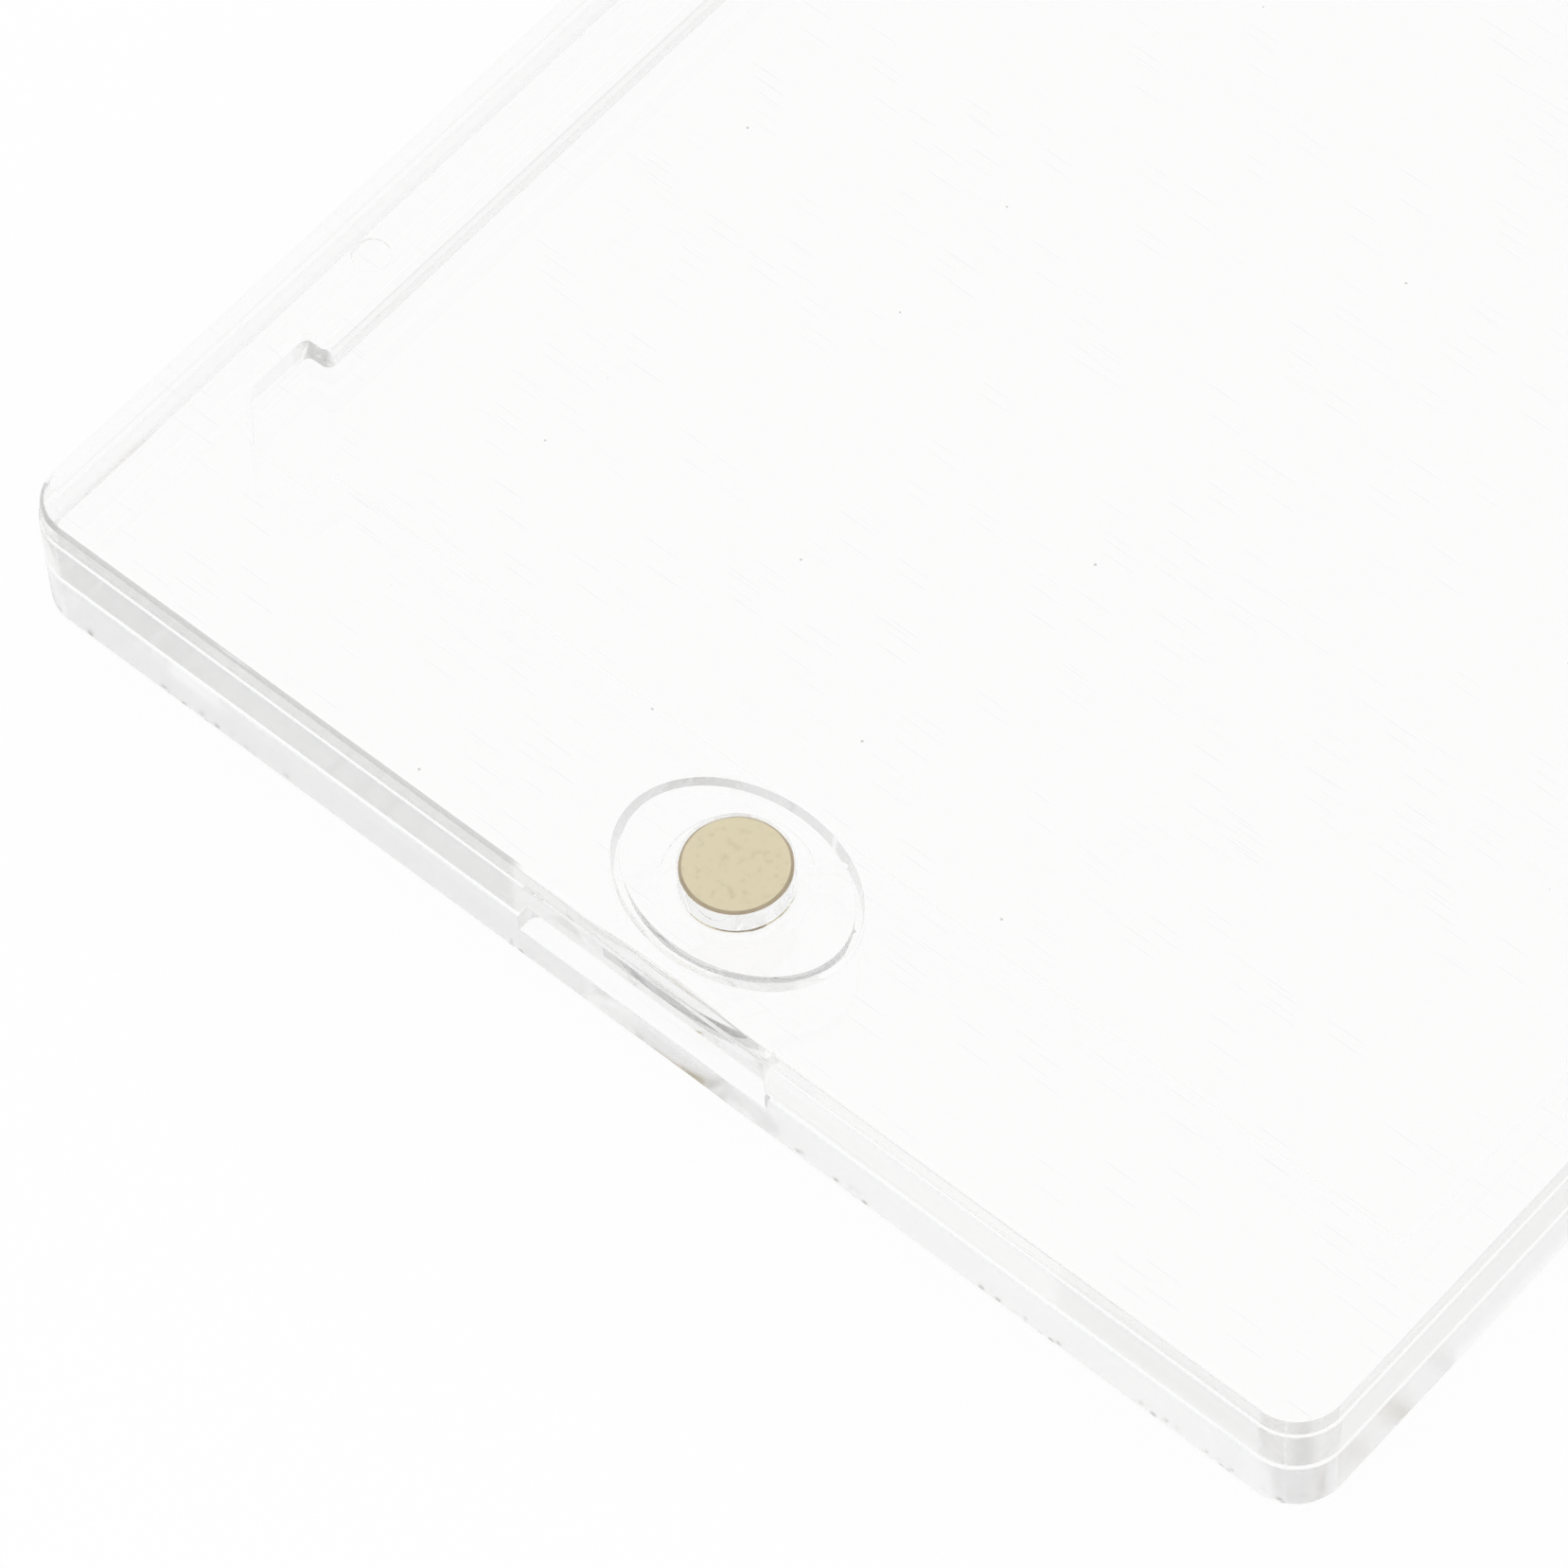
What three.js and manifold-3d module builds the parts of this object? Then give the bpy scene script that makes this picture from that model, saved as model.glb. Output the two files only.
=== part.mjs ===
// Magnetic card holder: two clear moulded halves close face to face over a trading card, and a gold-plated
// disc magnet in each holds them shut. The halves part at the finger notch in the magnet end.
// Millimetres, +Z up, the magnet end towards -Y, the origin at the middle of the underside.

import * as THREE from 'three';
import { mergeVertices } from 'three/addons/utils/BufferGeometryUtils.js';
import Module from 'manifold-3d';

const wasm = await Module();
wasm.setup();

// The card and the rims round it
const cardWidth = 63.5;
const cardLength = 88.9;
const cardClearance = 0.85;
const sideRim = 3.9;
const magnetRim = 11.4;
const farRim = 8;

// The two halves
const rearThickness = 3.45;
const frontThickness = 3.75;
const seamGap = 0.05;
const cornerRadius = 2.5;
const bottomFillet = 0.4;
const topFillet = 0.25;
const seamChamfer = 0.15;
const stepDrop = 1.2;
const stepWidth = 0.15;

// The well in the rear half, with a relief at the near left corner that leaves room to lift the card's corner
const wellDepth = 1.65;
const wellChamfer = 0.25;
const reliefReach = 1.3;
const reliefLength = 4.5;
const reliefChamfer = 2.15;
const wellRounding = 0.4;

// The magnets, and the oval boss on the rear half that carries one of them into the front half's recess
const magnetRadius = 2.5;
const magnetThickness = 2;
const magnetEdge = 0.15;
const magnetInset = 6.4;
const pocketClearance = 0.08;
const glueFilm = 0.03;
const bossHalfLength = 5.7;
const bossHalfWidth = 4.15;
const bossHeight = 1.05;
const bossClearance = 0.37;
const bossHeadroom = 0.08;
const landRadius = 3.4;
const landDepth = 0.08;

// The finger notch across the seam, in the middle of the magnet end
const notchWidth = 14;
const notchDepth = 1.05;
const notchRise = 1.1;
const notchDrop = 1.2;
const notchRounding = 0.5;

// The tongue under the front half that keys the far end into a groove in the rear half
const tongueWidth = 46;
const tongueThickness = 1;
const tongueRounding = 0.4;
const tongueHeight = 0.9;
const tongueInset = 3;
const tongueClearance = 0.3;

// Ejector pin marks in the rear half's side rims
const pinRadius = 0.9;
const pinDepth = 0.08;
const pinInset = 21;

// Facets
const cornerSteps = 14;
const roundSteps = 72;
const ovalSteps = 96;
const filletSteps = 4;
const mergeDistance = 1e-5;
const arcHandle = 0.5523;

// Worked out from the values above
const wellWidth = cardWidth + 2 * cardClearance;
const wellLength = cardLength + 2 * cardClearance;
const caseWidth = wellWidth + 2 * sideRim;
const caseLength = magnetRim + wellLength + farRim;
const magnetEnd = -caseLength / 2;
const farEnd = caseLength / 2;
const frontFloor = rearThickness + seamGap;
const caseTop = frontFloor + frontThickness;
const magnetY = magnetEnd + magnetInset;
const wellNear = magnetEnd + magnetRim;
const wellFar = wellNear + wellLength;
const wellFloor = rearThickness - wellDepth;
const bossTop = rearThickness + bossHeight;
const recessTop = bossTop + bossHeadroom;
const pocketRadius = magnetRadius + pocketClearance;
const landTop = bossTop - landDepth;
const margin = 1;

const clearPlastic = { color: 0xf4f6f6, roughness: 0.05, metalness: 0, transparent: true, opacity: 0.35 };
const goldPlate = { color: 0xcdb981, roughness: 0.3, metalness: 1 };

// A rounded rectangle with its middle at (x, y)
function roundedRectangle(width, length, radius, x = 0, y = 0) {
  const [left, right] = [x - width / 2, x + width / 2];
  const [near, far] = [y - length / 2, y + length / 2];
  const shape = new THREE.Shape();
  shape.absarc(right - radius, near + radius, radius, -Math.PI / 2, 0);
  shape.absarc(right - radius, far - radius, radius, 0, Math.PI / 2);
  shape.absarc(left + radius, far - radius, radius, Math.PI / 2, Math.PI);
  shape.absarc(left + radius, near + radius, radius, Math.PI, 1.5 * Math.PI);
  shape.closePath();
  return shape;
}

// An ellipse with its middle at (x, y)
function ellipse(halfLength, halfWidth, x, y) {
  const shape = new THREE.Shape();
  shape.absellipse(x, y, halfLength, halfWidth, 0, 2 * Math.PI);
  return shape;
}

// A shape raised from one height to another, with square edges
function plate(shape, bottom, top, steps = cornerSteps) {
  const options = { depth: top - bottom, curveSegments: steps, bevelEnabled: false };
  return new THREE.ExtrudeGeometry(shape, options).translate(0, 0, bottom);
}

// A plate whose lower and upper edges are both cut back by edge: a chamfer with one step, a fillet with more
function easedPlate(shape, bottom, top, edge, steps) {
  const geometry = new THREE.ExtrudeGeometry(shape, {
    depth: top - bottom - 2 * edge,
    curveSegments: cornerSteps,
    bevelThickness: edge,
    bevelSize: edge,
    bevelOffset: -edge,
    bevelSegments: steps,
  });
  return geometry.translate(0, 0, bottom + edge);
}

// A closed geometry as a solid that can be joined and cut
function solid(geometry) {
  const bare = geometry.clone();
  bare.deleteAttribute('normal');
  bare.deleteAttribute('uv');
  const merged = mergeVertices(bare, mergeDistance);
  return new wasm.Manifold(new wasm.Mesh({
    numProp: 3,
    vertProperties: new Float32Array(merged.attributes.position.array),
    triVerts: new Uint32Array(merged.index.array),
  }));
}

// A solid as a mesh with a name
function piece(name, shape, look) {
  const result = shape.getMesh();
  const geometry = new THREE.BufferGeometry();
  geometry.setAttribute('position', new THREE.BufferAttribute(result.vertProperties, 3));
  geometry.setIndex(new THREE.BufferAttribute(result.triVerts, 1));
  geometry.computeVertexNormals();
  const mesh = new THREE.Mesh(geometry, new THREE.MeshStandardMaterial(look));
  mesh.name = name;
  return mesh;
}

// The well's outline: a rectangle whose near left corner steps out into a relief with a cut-off corner
function wellShape() {
  const wallX = wellWidth / 2;
  const reliefX = wallX + reliefReach;
  const reliefY = wellNear - reliefReach;
  const outline = [
    [wallX, wellNear],
    [wallX, wellFar],
    [-wallX, wellFar],
    [-wallX, wellNear + reliefLength],
    [-reliefX, wellNear + reliefLength],
    [-reliefX, reliefY + reliefChamfer],
    [-reliefX + reliefChamfer, reliefY],
    [-wallX + reliefLength, reliefY],
    [-wallX + reliefLength, wellNear],
  ];
  return softened(outline.map(([x, y]) => new THREE.Vector2(x, y)), wellRounding);
}

// A polygon with each corner rounded off to a quarter arc, or a flatter one where the corner is wider
function softened(points, radius) {
  const shape = new THREE.Shape();
  points.forEach((corner, i) => {
    const before = points.at(i - 1);
    const after = points[(i + 1) % points.length];
    const start = corner.clone().add(before.clone().sub(corner).setLength(radius));
    const end = corner.clone().add(after.clone().sub(corner).setLength(radius));
    if (i === 0) {
      shape.moveTo(start.x, start.y);
    } else {
      shape.lineTo(start.x, start.y);
    }
    const leave = start.clone().lerp(corner, arcHandle);
    const arrive = end.clone().lerp(corner, arcHandle);
    shape.bezierCurveTo(leave.x, leave.y, arrive.x, arrive.y, end.x, end.y);
  });
  shape.closePath();
  return shape;
}

// The hollow for the card, open at the seam, with a lead-in chamfer round its mouth
function well() {
  const hollow = solid(plate(wellShape(), wellFloor, rearThickness + margin, filletSteps));
  const mouth = new THREE.ExtrudeGeometry(wellShape(), {
    depth: margin,
    curveSegments: filletSteps,
    bevelThickness: wellChamfer,
    bevelSize: wellChamfer,
    bevelSegments: 1,
  });
  mouth.translate(0, 0, rearThickness);
  return hollow.add(solid(mouth));
}

// A round hole or stud between two heights, in line with the magnets
function magnetRound(radius, bottom, top) {
  return solid(new THREE.CylinderGeometry(radius, radius, top - bottom, roundSteps)
    .rotateX(Math.PI / 2)
    .translate(0, magnetY, (bottom + top) / 2));
}

// An oval stud between two heights, in line with the magnets
function magnetOval(grow, bottom, top) {
  const outline = ellipse(bossHalfLength + grow, bossHalfWidth + grow, 0, magnetY);
  return solid(plate(outline, bottom, top, ovalSteps));
}

// The part of the finger notch between two heights, with rounded inner corners
function notch(bottom, top) {
  const length = 2 * notchDepth;
  return solid(plate(roundedRectangle(notchWidth, length, notchRounding, 0, magnetEnd), bottom, top));
}

// The tongue, or its groove when grown by a clearance
function tongue(grow, bottom, top) {
  const thickness = tongueThickness + 2 * grow;
  const width = tongueWidth + 2 * grow;
  const outline = roundedRectangle(width, thickness, tongueRounding, 0, farEnd - tongueInset);
  return solid(plate(outline, bottom, top));
}

// A gold-plated disc with eased edges, standing on bottom
function magnet(name, bottom) {
  const top = bottom + magnetThickness;
  const profile = [
    [0, bottom],
    [magnetRadius - magnetEdge, bottom],
    [magnetRadius, bottom + magnetEdge],
    [magnetRadius, top - magnetEdge],
    [magnetRadius - magnetEdge, top],
    [0, top],
  ];
  const disc = new THREE.LatheGeometry(profile.map(([x, y]) => new THREE.Vector2(x, y)), roundSteps);
  return piece(name, solid(disc.rotateX(Math.PI / 2).translate(0, magnetY, 0)), goldPlate);
}

// The tray: the well, the oval boss with the lower magnet's pocket, and the lower part of the notch
function rearHalf() {
  const outline = roundedRectangle(caseWidth, caseLength, cornerRadius);
  const middle = bottomFillet + seamChamfer;
  const lower = solid(easedPlate(outline, 0, rearThickness - seamChamfer, bottomFillet, filletSteps));
  const upper = solid(easedPlate(outline, middle, rearThickness, seamChamfer, 1));
  const boss = magnetOval(0, rearThickness - margin, bossTop);
  const marks = [-1, 1].flatMap((side) => [magnetEnd + pinInset, farEnd - pinInset].map((y) => {
    const mark = ellipse(pinRadius, pinRadius, side * (caseWidth - sideRim) / 2, y);
    return solid(plate(mark, rearThickness - pinDepth, rearThickness + margin));
  }));
  return [
    well(),
    magnetRound(landRadius, landTop, bossTop + margin),
    magnetRound(pocketRadius, landTop - magnetThickness - glueFilm, bossTop + margin),
    notch(rearThickness - notchDrop, rearThickness + margin),
    tongue(tongueClearance, rearThickness - tongueHeight - tongueClearance, rearThickness + margin),
    ...marks,
  ].reduce((body, cut) => body.subtract(cut), lower.add(upper).add(boss));
}

// The cover: a plate with a fine step round it, the recess for the boss, the upper pocket, notch and tongue
function frontHalf() {
  const rim = solid(easedPlate(
    roundedRectangle(caseWidth, caseLength, cornerRadius),
    frontFloor,
    caseTop - stepDrop + seamChamfer,
    seamChamfer,
    1,
  ));
  const ledge = solid(plate(
    roundedRectangle(caseWidth + margin, caseLength + margin, cornerRadius),
    caseTop - stepDrop,
    caseTop,
  ));
  const face = solid(easedPlate(
    roundedRectangle(caseWidth - 2 * stepWidth, caseLength - 2 * stepWidth, cornerRadius - stepWidth),
    frontFloor + 2 * seamChamfer,
    caseTop,
    topFillet,
    filletSteps,
  ));
  const key = tongue(0, frontFloor - tongueHeight, frontFloor + margin);
  const ceiling = recessTop + magnetThickness + 2 * glueFilm;
  return rim.subtract(ledge).add(face).add(key)
    .subtract(magnetOval(bossClearance, frontFloor - margin, recessTop))
    .subtract(magnetRound(pocketRadius, frontFloor, ceiling))
    .subtract(notch(frontFloor - margin, frontFloor + notchRise));
}

const cardHolder = new THREE.Group();
cardHolder.add(
  piece('rear_half', rearHalf(), clearPlastic),
  piece('front_half', frontHalf(), clearPlastic),
  magnet('rear_magnet', landTop - magnetThickness),
  magnet('front_magnet', recessTop + glueFilm),
);

export default cardHolder;
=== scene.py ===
# Magnetic card holder: clear halves and gold-plated magnets on a white table
import math

import bmesh
import bpy
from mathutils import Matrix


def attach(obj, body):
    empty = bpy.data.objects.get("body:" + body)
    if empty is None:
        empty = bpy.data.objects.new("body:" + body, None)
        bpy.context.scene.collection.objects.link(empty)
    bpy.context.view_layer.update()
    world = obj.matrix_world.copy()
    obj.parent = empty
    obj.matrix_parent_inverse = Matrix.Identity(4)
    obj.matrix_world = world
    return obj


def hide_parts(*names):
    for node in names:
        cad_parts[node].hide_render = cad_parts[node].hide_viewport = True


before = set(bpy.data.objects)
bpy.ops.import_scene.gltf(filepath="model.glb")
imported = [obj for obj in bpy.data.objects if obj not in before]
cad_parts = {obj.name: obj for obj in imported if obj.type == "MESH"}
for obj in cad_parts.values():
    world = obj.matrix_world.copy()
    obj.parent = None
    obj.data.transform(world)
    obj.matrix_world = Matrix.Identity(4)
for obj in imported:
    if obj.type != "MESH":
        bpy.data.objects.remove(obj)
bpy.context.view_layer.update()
scene = bpy.context.scene
print("frame loaded")

# the camera that took the photo, from a fit to the case's edges
shot = {
    "place": (0.14870, -0.19945, 0.34375),
    "turn": (32.58, 1.90, 41.01),  # degrees
    "lens": 214.5,
    "sensor": 36,
    "nearest": 0.01,
}

camera = bpy.data.objects.new("camera", bpy.data.cameras.new("camera"))
scene.collection.objects.link(camera)
camera.location = shot["place"]
camera.rotation_euler = [math.radians(a) for a in shot["turn"]]
camera.data.lens = shot["lens"]
camera.data.sensor_width = shot["sensor"]
camera.data.clip_start = shot["nearest"]
scene.camera = camera

# light goes to and fro inside the clear walls many times before it comes out
tracing = {
    "bounces": 256,
    "seeThrough": 16,
    "clamp": 3,
    "noise": 0.1,  # the white table needs few samples
}

scene.view_settings.view_transform = "Standard"
scene.cycles.max_bounces = tracing["bounces"]
scene.cycles.transmission_bounces = tracing["bounces"]
scene.cycles.glossy_bounces = tracing["bounces"]
scene.cycles.transparent_max_bounces = tracing["seeThrough"]
scene.cycles.caustics_reflective = True
scene.cycles.caustics_refractive = True
scene.cycles.sample_clamp_indirect = tracing["clamp"]
scene.cycles.adaptive_threshold = tracing["noise"]
print("camera set")


# short ways to add nodes; a mask is 1 where something is and 0 elsewhere

def newMaterial(name):
    material = bpy.data.materials.new(name)
    material.use_nodes = True
    return material, material.node_tree, material.node_tree.nodes["Principled BSDF"]


def addNode(tree, kind, **settings):
    node = tree.nodes.new("ShaderNode" + kind)
    for key, value in settings.items():
        if hasattr(node, key):
            setattr(node, key, value)
        else:
            node.inputs[key].default_value = value
    return node


def maths(tree, operation, first, second=0):
    node = addNode(tree, "Math", operation=operation)
    for socket, value in zip(node.inputs, (first, second)):
        if isinstance(value, (int, float)):
            socket.default_value = value
        else:
            tree.links.new(value, socket)
    return node.outputs[0]


def product(tree, first, *others):
    for other in others:
        first = maths(tree, "MULTIPLY", first, other)
    return first


def mapRange(tree, value, fromLow, fromHigh, toLow=0, toHigh=1):
    node = addNode(tree, "MapRange", interpolation_type="SMOOTHSTEP")
    tree.links.new(value, node.inputs["Value"])
    node.inputs["From Min"].default_value = fromLow
    node.inputs["From Max"].default_value = fromHigh
    node.inputs["To Min"].default_value = toLow
    node.inputs["To Max"].default_value = toHigh
    return node.outputs["Result"]


def mixColour(tree, factor, first, second):
    node = addNode(tree, "Mix", data_type="RGBA")
    tree.links.new(factor, node.inputs["Factor"])
    for socket, value in ((node.inputs[6], first), (node.inputs[7], second)):
        if isinstance(value, tuple):
            socket.default_value = value
        else:
            tree.links.new(value, socket)
    return node.outputs[2]


def pattern(tree, kind, place, scale, **settings):
    node = addNode(tree, kind, Scale=scale, **settings)
    tree.links.new(place, node.inputs["Vector"])
    return node


# both halves' clear plastic
plastic = {
    "colour": (0.997, 0.997, 0.996, 1),
    "ior": 1.49,
    "roughness": 0.012,
}

# fine straight handling scratches, each a stretched cell of a Voronoi pattern
scratches = {
    "turns": (12, 47, 95, 128, 163),  # degrees
    "length": 0.026,  # metres
    "width": 0.00096,
    "core": (0.02, 0.05),  # the share of a cell's width that is dark
    "share": 0.32,  # of the cells that hold a scratch
    "shift": (3.1, 1.7),  # moves each set, so that no two sets or halves match
    "colour": (0.90, 0.905, 0.91, 1),
}

dust = {
    "cell": 0.005,
    "size": (0.011, 0.0176),  # share of a cell
    "colour": (0.45, 0.44, 0.42, 1),
}

# small chips along the lower edge of the magnet end
chips = {
    "cell": 0.0006,
    "size": (0.22, 0.34),
    "groups": 160,  # scale of the noise that gathers them
    "gathered": (0.47, 0.54),
    "height": (0.00042, 0.0014),  # none higher
    "colour": (0.35, 0.35, 0.34, 1),
}

# the outer walls of each half: light runs along them, so they look greyer than the faces; that grey is
# painted shade in their base colour
walls = {
    "inset": (0.034, 0.0533),  # x and y past which an upright face is an outer wall
    "upright": 0.3,  # the most that an upright face's normal rises
    "leftEnd": (-0.0075, -0.0065),  # x where the greyer wall left of the notch ends
    "notchEnd": 0.0071,
    "corner": (0.0352, 0.0536),
    "cornerFade": 0.0006,
}

# painted shade: greys by place on the rear half's outer walls, and their roughness
rearWallShade = {
    "grey": (1, 1, 1, 1),
    "leftGrey": (1, 1, 1, 1),
    "notchGrey": (0.96, 0.96, 0.955, 1),
    "sideGrey": (0.99, 0.99, 0.99, 1),
    "cornerGrey": (1, 1, 1, 1),
    "roughness": 0.2,
}

# painted shade: greys by place on the front half's outer walls, darker left of the notch and at the corner,
# and their roughness
frontWallShade = {
    "grey": (0.965, 0.965, 0.96, 1),
    "leftGrey": (0.62, 0.62, 0.615, 1),
    "notchGrey": (0.79, 0.79, 0.785, 1),
    "sideGrey": (0.86, 0.86, 0.855, 1),
    "cornerGrey": (0.62, 0.62, 0.615, 1),
    "roughness": 0.06,
}

# painted shade: the tilted edge faces above the step, left of the notch, are painted dark so that they show
# as dark lines
edges = {
    "bottom": 0.00607,
    "tilt": (0.3, 0.97),
    "grey": (0.46, 0.46, 0.455, 1),
}

# painted shade: the upright faces of the well inside the left rim are greyed, its end faces darker
wellShade = {
    "left": -0.029,
    "near": -0.040,
    "turned": (0.5, 0.9),  # a normal along the case this much makes an end face
    "grey": (0.88, 0.88, 0.875, 1),
    "endGrey": (0.62, 0.62, 0.615, 1),
}

# the upright faces of the boss and its recess lie between two distances from the magnets' middle, and are
# painted grey as shade
bossShade = {
    "centre": -0.0486,  # y
    "reach": (0.0036, 0.0064),
    "grey": (0.58, 0.58, 0.58, 1),
}


def scratchMask(tree, place, seed):
    mask = None
    alongShift, acrossShift = scratches["shift"]
    for i, turn in enumerate(scratches["turns"]):
        spread = addNode(tree, "Mapping")
        tree.links.new(place, spread.inputs["Vector"])
        spread.inputs["Rotation"].default_value = (0, 0, math.radians(turn + seed))
        spread.inputs["Location"].default_value = (seed * alongShift + i, i * acrossShift, 0)
        spread.inputs["Scale"].default_value = (1 / scratches["length"], 1 / scratches["width"], 1)
        cells = pattern(tree, "TexVoronoi", spread.outputs[0], 1, voronoi_dimensions="2D", feature="F1")
        chance = addNode(tree, "SeparateColor")
        tree.links.new(cells.outputs["Color"], chance.inputs[0])
        line = mapRange(tree, cells.outputs["Distance"], *scratches["core"], 1, 0)
        kept = maths(tree, "LESS_THAN", chance.outputs[0], scratches["share"])
        line = product(tree, line, kept, chance.outputs[1])
        mask = line if mask is None else maths(tree, "MAXIMUM", mask, line)
    return mask


def dustMask(tree, place, wall):
    cells = pattern(tree, "TexVoronoi", place, 1 / dust["cell"], feature="F1")
    speck = mapRange(tree, cells.outputs["Distance"], *dust["size"], 1, 0)
    return product(tree, speck, maths(tree, "SUBTRACT", 1, wall))


def chipMask(tree, place, z, nearWall):
    cells = pattern(tree, "TexVoronoi", place, 1 / chips["cell"], feature="F1")
    chip = mapRange(tree, cells.outputs["Distance"], *chips["size"], 1, 0)
    groups = pattern(tree, "TexNoise", place, chips["groups"])
    gathered = mapRange(tree, groups.outputs[0], *chips["gathered"])
    low = mapRange(tree, z, *chips["height"], 1, 0)
    return product(tree, chip, gathered, low, nearWall)


# painted shade on the outer walls: greys by place, left of the notch, at the notch, the sides and the
# corners
def paintedWallShade(tree, absX, absY, outX, left, wallShade):
    cornerX, cornerY = (mapRange(tree, across, start, start + walls["cornerFade"])
                        for across, start in zip((absX, absY), walls["corner"]))
    shadeTint = mixColour(tree, left, wallShade["grey"], wallShade["leftGrey"])
    shadeTint = mixColour(tree, maths(tree, "LESS_THAN", absX, walls["notchEnd"]), shadeTint, wallShade["notchGrey"])
    shadeTint = mixColour(tree, outX, shadeTint, wallShade["sideGrey"])
    return mixColour(tree, product(tree, cornerX, cornerY), shadeTint, wallShade["cornerGrey"])


# painted shade on the well's upright faces, darker on its end faces
def wellShadeColour(tree, x, y, upright, along):
    inLeft = maths(tree, "LESS_THAN", x, wellShade["left"])
    inFar = maths(tree, "GREATER_THAN", y, wellShade["near"])
    shadeTint = mixColour(tree, mapRange(tree, along, *wellShade["turned"]), wellShade["grey"], wellShade["endGrey"])
    return mixColour(tree, product(tree, upright, inLeft, inFar), plastic["colour"], shadeTint)


# painted shade: picks the boss's and recess's upright faces
def bossShadeMask(tree, x, y, upright):
    away = maths(tree, "SUBTRACT", y, bossShade["centre"])
    squared = maths(tree, "ADD", product(tree, away, away), product(tree, x, x))
    inner, outer = (reach ** 2 for reach in bossShade["reach"])
    past = maths(tree, "GREATER_THAN", squared, inner)
    return product(tree, upright, past, maths(tree, "LESS_THAN", squared, outer))


# painted shade: picks the tilted faces above the step, left of the notch
def paintedEdgeShadeMask(tree, z, rise, left):
    tilted = maths(tree, "GREATER_THAN", rise, edges["tilt"][0])
    notFlat = maths(tree, "LESS_THAN", rise, edges["tilt"][1])
    return product(tree, tilted, left, notFlat, maths(tree, "GREATER_THAN", z, edges["bottom"]))


def clearPlastic(name, seed, wallShade):
    material, tree, shader = newMaterial(name)
    coordinates = addNode(tree, "TexCoord")
    place = coordinates.outputs["Object"]
    where = addNode(tree, "SeparateXYZ")
    tree.links.new(place, where.inputs[0])
    x, y, z = where.outputs
    facing = addNode(tree, "SeparateXYZ")
    tree.links.new(coordinates.outputs["Normal"], facing.inputs[0])
    along, rise = (maths(tree, "ABSOLUTE", facing.outputs[i]) for i in (1, 2))
    absX, absY = (maths(tree, "ABSOLUTE", across) for across in (x, y))

    upright = maths(tree, "LESS_THAN", rise, walls["upright"])
    outX = maths(tree, "GREATER_THAN", absX, walls["inset"][0])
    outY = maths(tree, "GREATER_THAN", absY, walls["inset"][1])
    wall = product(tree, upright, maths(tree, "MAXIMUM", outX, outY))
    nearEnd = maths(tree, "LESS_THAN", y, -walls["inset"][1])
    left = product(tree, mapRange(tree, x, *walls["leftEnd"], 1, 0), nearEnd)

    # the base colour holds painted shade on the well, the boss, the outer walls and the tilted edge faces,
    # then real scratches, dust and chips
    colour = wellShadeColour(tree, x, y, upright, along)
    colour = mixColour(tree, bossShadeMask(tree, x, y, upright), colour, bossShade["grey"])
    colour = mixColour(tree, wall, colour, paintedWallShade(tree, absX, absY, outX, left, wallShade))
    colour = mixColour(tree, paintedEdgeShadeMask(tree, z, rise, left), colour, edges["grey"])
    colour = mixColour(tree, scratchMask(tree, place, seed), colour, scratches["colour"])
    colour = mixColour(tree, dustMask(tree, place, wall), colour, dust["colour"])
    colour = mixColour(tree, chipMask(tree, place, z, product(tree, nearEnd, wall)), colour, chips["colour"])

    tree.links.new(colour, shader.inputs["Base Color"])
    roughness = mapRange(tree, wall, 0, 1, plastic["roughness"], wallShade["roughness"])
    tree.links.new(roughness, shader.inputs["Roughness"])
    shader.inputs["Transmission Weight"].default_value = 1
    shader.inputs["IOR"].default_value = plastic["ior"]
    return material


# the magnets' gold plating, faintly clouded, with painted shade on the rounded rim
gold = {
    "colour": (0.815, 0.725, 0.495, 1),
    "stain": (0.62, 0.54, 0.33, 1),
    "rim": (0.50, 0.40, 0.26, 1),
    "rimTilt": (0.3, 0.97),  # the rounded rim's normals rise between these
    "clouds": 2600,
    "detail": 5,
    "stained": (0.5, 0.72, 0, 0.45),  # from and to, then how much
    "roughness": 0.32,
}


def goldPlating():
    material, tree, shader = newMaterial("gold_plating")
    coordinates = addNode(tree, "TexCoord")
    clouds = pattern(tree, "TexNoise", coordinates.outputs["Object"], gold["clouds"], Detail=gold["detail"])
    stain = mapRange(tree, clouds.outputs[0], *gold["stained"])
    colour = mixColour(tree, stain, gold["colour"], gold["stain"])
    facing = addNode(tree, "SeparateXYZ")
    tree.links.new(coordinates.outputs["Normal"], facing.inputs[0])
    rise = maths(tree, "ABSOLUTE", facing.outputs[2])
    # painted shade: the rounded rim gets a darker gold so that it shows as a dark line
    tilted = maths(tree, "GREATER_THAN", rise, gold["rimTilt"][0])
    rim = product(tree, tilted, maths(tree, "LESS_THAN", rise, gold["rimTilt"][1]))
    tree.links.new(mixColour(tree, rim, colour, gold["rim"]), shader.inputs["Base Color"])
    shader.inputs["Metallic"].default_value = 1
    shader.inputs["Roughness"].default_value = gold["roughness"]
    return material


# how the pieces are finished: broken edges and shading
finish = {
    "merge": 1e-6,
    "flatAngle": 0.1,  # degrees: facets this close to flat are joined
    "breakAngle": 60,  # degrees: edges sharper than this get a tiny rounding
    "breakWidth": 0.05e-3,
    "sharpAngle": 32,  # degrees: edges sharper than this stay sharp in the shading
    "leadArea": 20e-6,  # a flat face at least this big keeps its own normal up to its edges
    "strong": 16384,
    "medium": 0,
    "weak": -16384,
}


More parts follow.
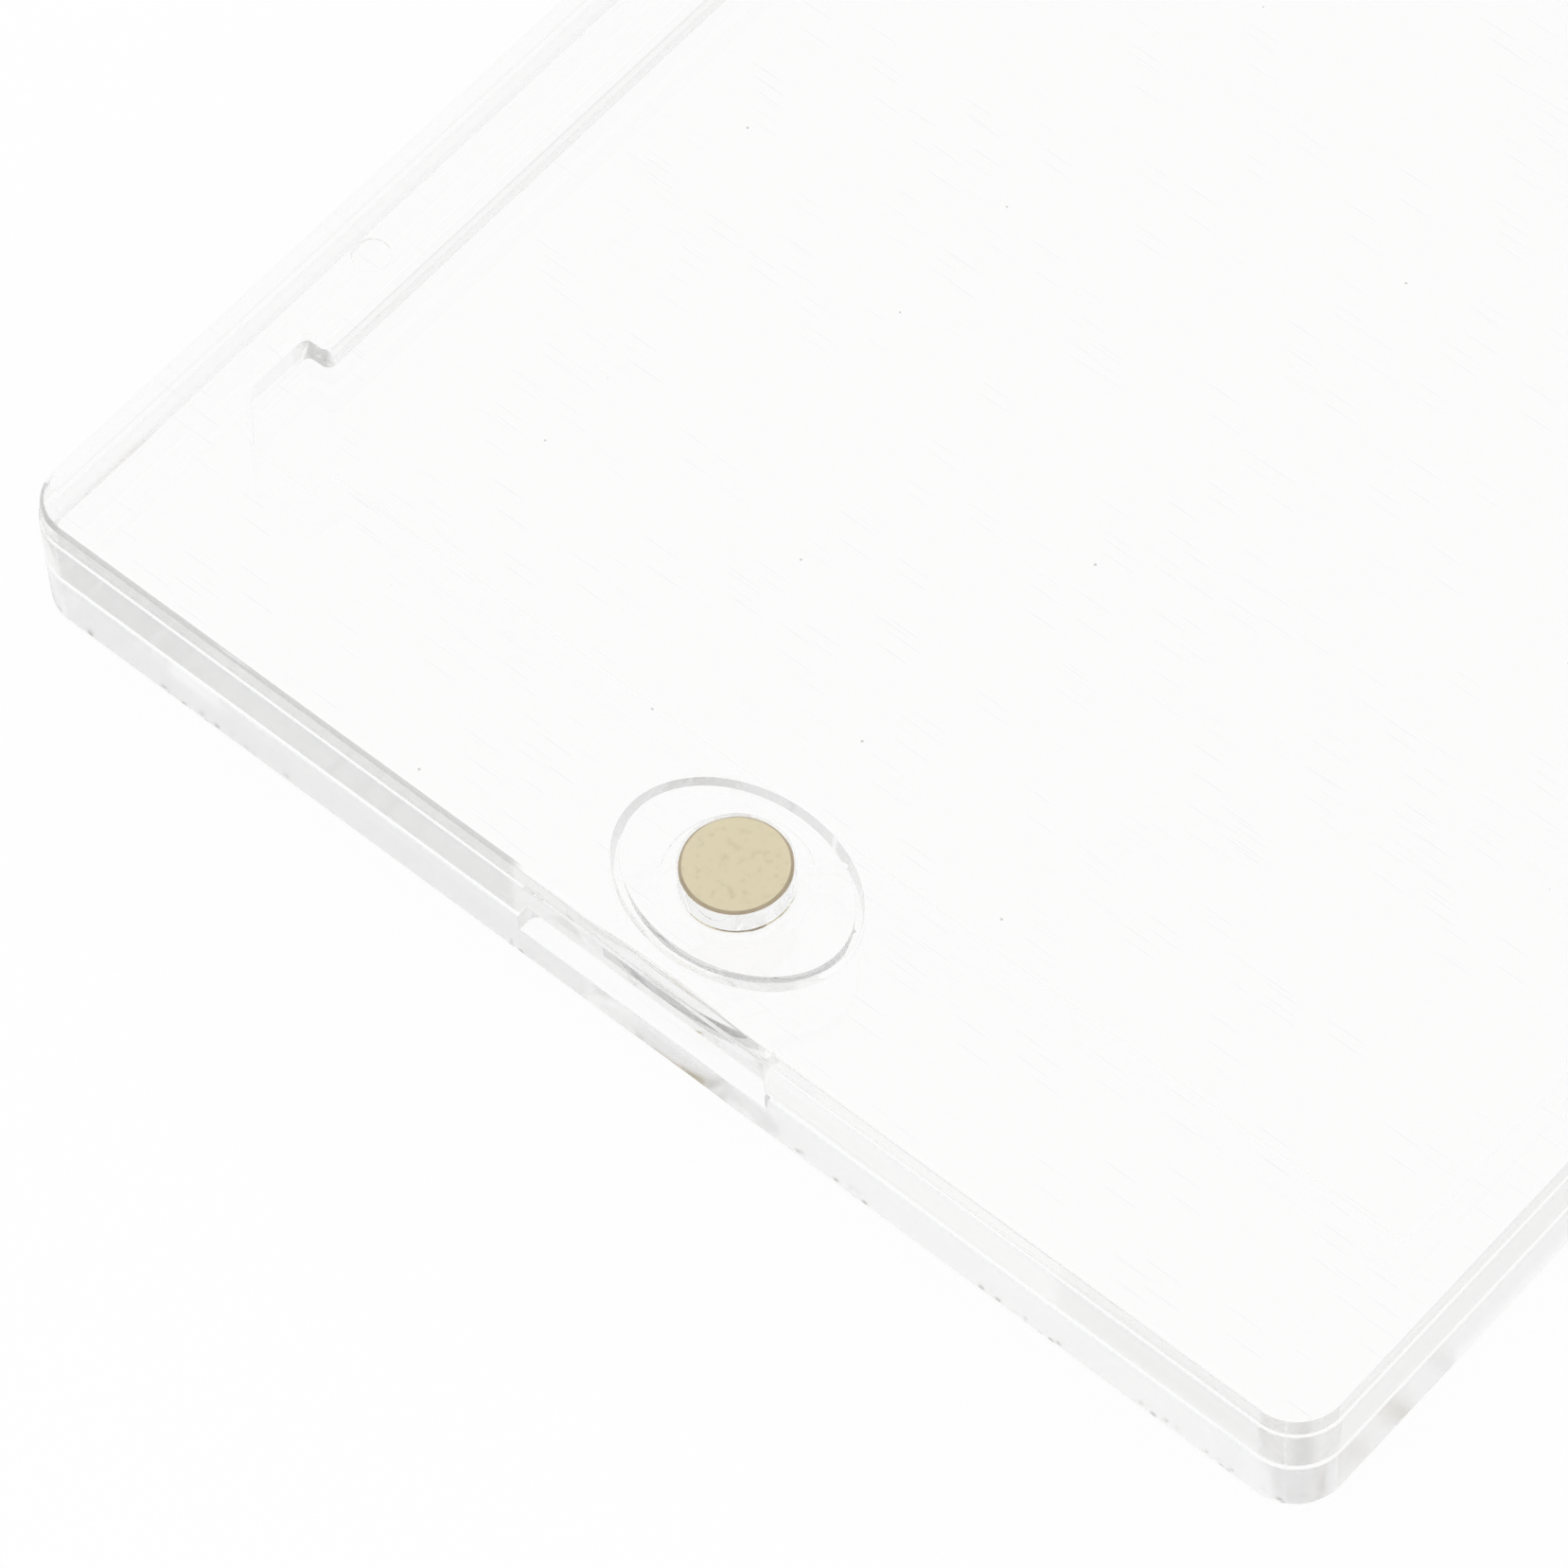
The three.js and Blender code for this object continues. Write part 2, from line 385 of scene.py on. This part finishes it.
def breakEdges(mesh, lead):
    flat = math.radians(finish["flatAngle"])
    bmesh.ops.dissolve_limit(mesh, angle_limit=flat, verts=mesh.verts, edges=mesh.edges)
    sharp = [e for e in mesh.edges if e.calc_face_angle(0) > math.radians(finish["breakAngle"])]
    made = bmesh.ops.bevel(mesh, geom=sharp, offset=finish["breakWidth"], affect="EDGES", segments=2,
                           profile=0.5, material=-1, clamp_overlap=False)
    for face in made["faces"]:
        face[lead] = finish["weak"]
    bmesh.ops.triangulate(mesh, faces=mesh.faces)


def plane(face):
    return (*(round(c, 3) for c in face.normal), round(face.normal.dot(face.verts[0].co), 6))


def shadeByFaces(mesh, lead):
    area = {}
    for face in mesh.faces:
        face.smooth = True
        area[plane(face)] = area.get(plane(face), 0) + face.calc_area()
    for face in mesh.faces:
        if face[lead] != finish["weak"]:
            face[lead] = finish["strong" if area[plane(face)] > finish["leadArea"] else "medium"]
    for edge in mesh.edges:
        edge.smooth = edge.calc_face_angle(0) < math.radians(finish["sharpAngle"])


def dressed(node, body, material, rounded=True):
    piece = bpy.data.objects.new(node + "_finished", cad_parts[node].data.copy())
    scene.collection.objects.link(piece)
    mesh = bmesh.new()
    mesh.from_mesh(piece.data)
    bmesh.ops.remove_doubles(mesh, verts=mesh.verts, dist=finish["merge"])
    lead = mesh.faces.layers.int.new("__mod_weightednormals_faceweight")  # the name that the modifier reads
    if rounded:
        breakEdges(mesh, lead)
    shadeByFaces(mesh, lead)
    mesh.to_mesh(piece.data)
    mesh.free()
    piece.data.materials.clear()
    piece.data.materials.append(material)
    weighted = piece.modifiers.new("faces lead", "WEIGHTED_NORMAL")
    weighted.use_face_influence = True
    weighted.keep_sharp = True
    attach(piece, body)
    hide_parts(node)
    print(piece.name, len(piece.data.polygons), "faces")


goldLook = goldPlating()
dressed("rear_half", "rear", clearPlastic("rear_plastic", 2, rearWallShade))
dressed("front_half", "front", clearPlastic("front_plastic", 5, frontWallShade))
dressed("rear_magnet", "rear", goldLook, rounded=False)
dressed("front_magnet", "front", goldLook, rounded=False)


# a white table that glows white to what looks at it, and keeps a faint shade of its own
table = {
    "size": 4,
    "drop": 0.00002,
    "shade": 0.04,
    "colour": (0.9, 0.9, 0.9, 1),
    "roughness": 0.9,
}

floorMesh = bmesh.new()
bmesh.ops.create_grid(floorMesh, x_segments=1, y_segments=1, size=table["size"] / 2)
floor = bpy.data.objects.new("table", bpy.data.meshes.new("table"))
floorMesh.to_mesh(floor.data)
floorMesh.free()
floor.location.z = -table["drop"]
scene.collection.objects.link(floor)

tableLook, tree, shader = newMaterial("table_white")
shader.inputs["Base Color"].default_value = table["colour"]
shader.inputs["Roughness"].default_value = table["roughness"]
shader.inputs["Specular IOR Level"].default_value = 0
glow = addNode(tree, "Emission")
rays = addNode(tree, "LightPath")
seen = maths(tree, "MAXIMUM", rays.outputs["Is Camera Ray"], rays.outputs["Is Glossy Ray"])
seen = maths(tree, "MAXIMUM", seen, rays.outputs["Is Transmission Ray"])
both = addNode(tree, "MixShader")
tree.links.new(product(tree, seen, 1 - table["shade"]), both.inputs[0])
tree.links.new(shader.outputs[0], both.inputs[1])
tree.links.new(glow.outputs[0], both.inputs[2])
tree.links.new(both.outputs[0], tree.nodes["Material Output"].inputs["Surface"])
floor.data.materials.append(tableLook)

# an even white sky
world = bpy.data.worlds.new("studio")
scene.world = world
world.use_nodes = True
world.node_tree.nodes["Background"].inputs["Color"].default_value = (1, 1, 1, 1)
world.cycles.sampling_method = "NONE"  # an even sky needs no shadow rays
print("table and light set")
